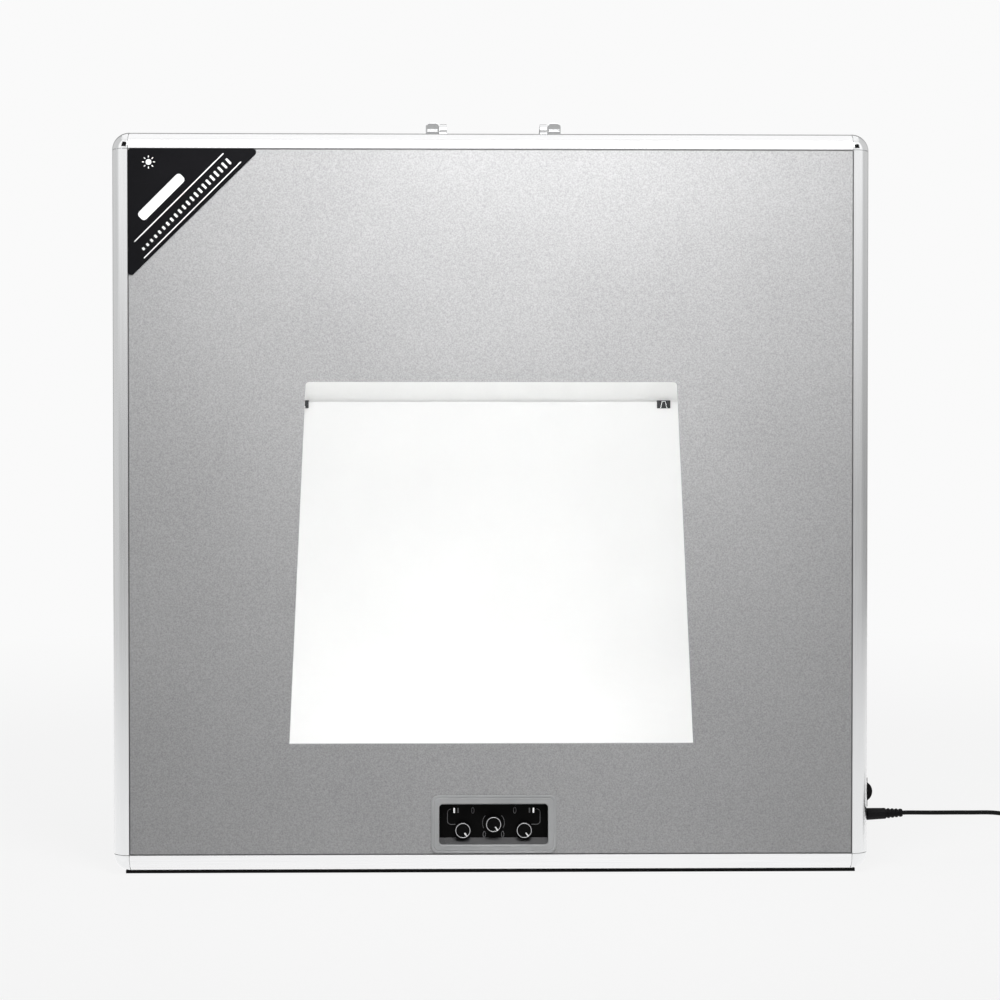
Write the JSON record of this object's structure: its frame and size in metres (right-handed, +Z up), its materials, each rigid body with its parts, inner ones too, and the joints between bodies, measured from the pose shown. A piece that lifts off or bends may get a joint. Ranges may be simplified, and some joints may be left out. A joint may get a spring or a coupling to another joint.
{
  "type": "light tent cube",
  "caption": "Folding light tent cube: framed front shell with a window, light modules and dimmers, hinged side leaves, rear shell with a backdrop, supply lead.",
  "frame": {"origin": "on the floor under the middle of the open case's box, without the supply lead", "axes": "+X to the case's right seen from the front, +Y from the front window to the rear panel, +Z up"},
  "size_m": [0.9671, 0.6005, 0.6544],
  "materials": {
    "silver_laminate": "silver-grey laminate with a fine speckle",
    "aluminium": "satin extrusion",
    "chrome": "bright plated",
    "black_rubber": "matt",
    "black_vinyl": "satin vinyl",
    "grey_plastic": "satin moulding",
    "black_plastic": "satin moulding",
    "circuit_board": "solder mask",
    "white_board": "white-coated aluminium",
    "opal_plastic": "opal diffusing plastic",
    "white_boarding": "satin white board",
    "white_fabric": "coated white cloth",
    "black_steel": "black spring steel",
    "cable_sheath": "smooth sheath"
  },
  "bodies": {
    "front_shell": {"front_panel": "silver_laminate", "front_rail_top": "aluminium", "front_rail_bottom": "aluminium", "front_rail_left": "aluminium", "front_rail_right": "aluminium", "front_corner_top_left": "chrome", "front_corner_top_right": "chrome", "front_corner_bottom_left": "chrome", "front_corner_bottom_right": "chrome", "front_foot_strip": "black_rubber", "corner_label": "black_vinyl", "control_bezel": "grey_plastic", "control_tray": "black_plastic", "dimmer_board": "circuit_board", "electronics_cover": "black_plastic", "switch_housing": "black_plastic", "supply_socket": "black_plastic", "wiring_loom": "cable_sheath", "led_board_left": "white_board", "led_board_right": "white_board", "led_board_top": "white_board", "diffuser_left": "opal_plastic", "diffuser_right": "opal_plastic", "diffuser_top": "opal_plastic", "handle_bracket_left": "chrome", "handle_bracket_right": "chrome", "top_sheet": "white_fabric", "floor_sheet": "white_fabric", "supply_plug": "black_plastic", "power_lead": "cable_sheath", "lead_coil": "cable_sheath", "lead_tail": "cable_sheath", "mains_adapter": "black_plastic"},
    "left_front_leaf": {"left_front_leaf": "white_boarding"},
    "left_rear_leaf": {"left_rear_leaf": "white_boarding"},
    "right_front_leaf": {"right_front_leaf": "white_boarding"},
    "right_rear_leaf": {"right_rear_leaf": "white_boarding"},
    "rear_shell": {"rear_panel": "silver_laminate", "rear_rail_top": "aluminium", "rear_rail_bottom": "aluminium", "rear_rail_left": "aluminium", "rear_rail_right": "aluminium", "rear_corner_top_left": "chrome", "rear_corner_top_right": "chrome", "rear_corner_bottom_left": "chrome", "rear_corner_bottom_right": "chrome", "rear_foot_strip": "black_rubber", "backdrop_rail": "white_board", "backdrop": "white_fabric", "backdrop_clip_left": "black_steel", "backdrop_clip_right": "black_steel", "latch_base_left": "chrome", "latch_base_right": "chrome"},
    "latch_lever_left": {"latch_lever_left": "chrome"},
    "latch_lever_right": {"latch_lever_right": "chrome"},
    "carry_handle": {"carry_handle": "chrome"},
    "dimmer_knob_left": {"dimmer_knob_left": "black_plastic"},
    "dimmer_knob_top": {"dimmer_knob_top": "black_plastic"},
    "dimmer_knob_right": {"dimmer_knob_right": "black_plastic"},
    "power_rocker": {"power_rocker": "black_plastic"}
  },
  "joints": [
    {"name": "left_front_leaf_fold", "type": "hinge", "parent": "front_shell", "child": "left_front_leaf", "pos_m": [-0.3087, -0.2415, 0.322], "axis": [0, 0, -1], "range_deg": [0, 90], "deforming": ["top_sheet", "floor_sheet", "backdrop"]},
    {"name": "left_rear_leaf_fold", "type": "hinge", "parent": "left_front_leaf", "child": "left_rear_leaf", "pos_m": [-0.3157, 0, 0.322], "axis": [0, 0, 1], "range_deg": [0, 180]},
    {"name": "rear_shell_fold", "type": "hinge", "parent": "left_rear_leaf", "child": "rear_shell", "pos_m": [-0.3087, 0.2415, 0.322], "axis": [0, 0, -1], "range_deg": [0, 90]},
    {"name": "right_front_leaf_fold", "type": "hinge", "parent": "front_shell", "child": "right_front_leaf", "pos_m": [0.3087, -0.2415, 0.322], "axis": [0, 0, 1], "range_deg": [0, 90]},
    {"name": "right_rear_leaf_fold", "type": "hinge", "parent": "right_front_leaf", "child": "right_rear_leaf", "pos_m": [0.3157, 0, 0.322], "axis": [0, 0, -1], "range_deg": [0, 180]},
    {"name": "left_latch_swing", "type": "hinge", "parent": "rear_shell", "child": "latch_lever_left", "pos_m": [-0.2, 0.245, 0.6455], "axis": [1, 0, 0], "range_deg": [0, 180]},
    {"name": "right_latch_swing", "type": "hinge", "parent": "rear_shell", "child": "latch_lever_right", "pos_m": [0.2, 0.245, 0.6455], "axis": [1, 0, 0], "range_deg": [0, 180]},
    {"name": "handle_swing", "type": "hinge", "parent": "front_shell", "child": "carry_handle", "pos_m": [0.002, -0.2535, 0.6477], "axis": [1, 0, 0], "range_deg": [0, 100]},
    {"name": "left_dimmer_turn", "type": "hinge", "parent": "front_shell", "child": "dimmer_knob_left", "pos_m": [-0.0248, -0.29, 0.0386], "axis": [0, -1, 0], "range_deg": [0, 290]},
    {"name": "top_dimmer_turn", "type": "hinge", "parent": "front_shell", "child": "dimmer_knob_top", "pos_m": [0.0017, -0.29, 0.0438], "axis": [0, -1, 0], "range_deg": [0, 290]},
    {"name": "right_dimmer_turn", "type": "hinge", "parent": "front_shell", "child": "dimmer_knob_right", "pos_m": [0.0282, -0.29, 0.0386], "axis": [0, -1, 0], "range_deg": [0, 290]},
    {"name": "power_rocker_tilt", "type": "hinge", "parent": "front_shell", "child": "power_rocker", "pos_m": [0.3257, -0.273, 0.0685], "axis": [0, -1, 0], "range_deg": [0, 12]}
  ],
  "couplings": [
    {"joint": "left_rear_leaf_fold", "follows": "left_front_leaf_fold", "ratio": 2},
    {"joint": "rear_shell_fold", "follows": "left_front_leaf_fold", "ratio": 1},
    {"joint": "right_front_leaf_fold", "follows": "left_front_leaf_fold", "ratio": 1},
    {"joint": "right_rear_leaf_fold", "follows": "left_front_leaf_fold", "ratio": 2}
  ]
}
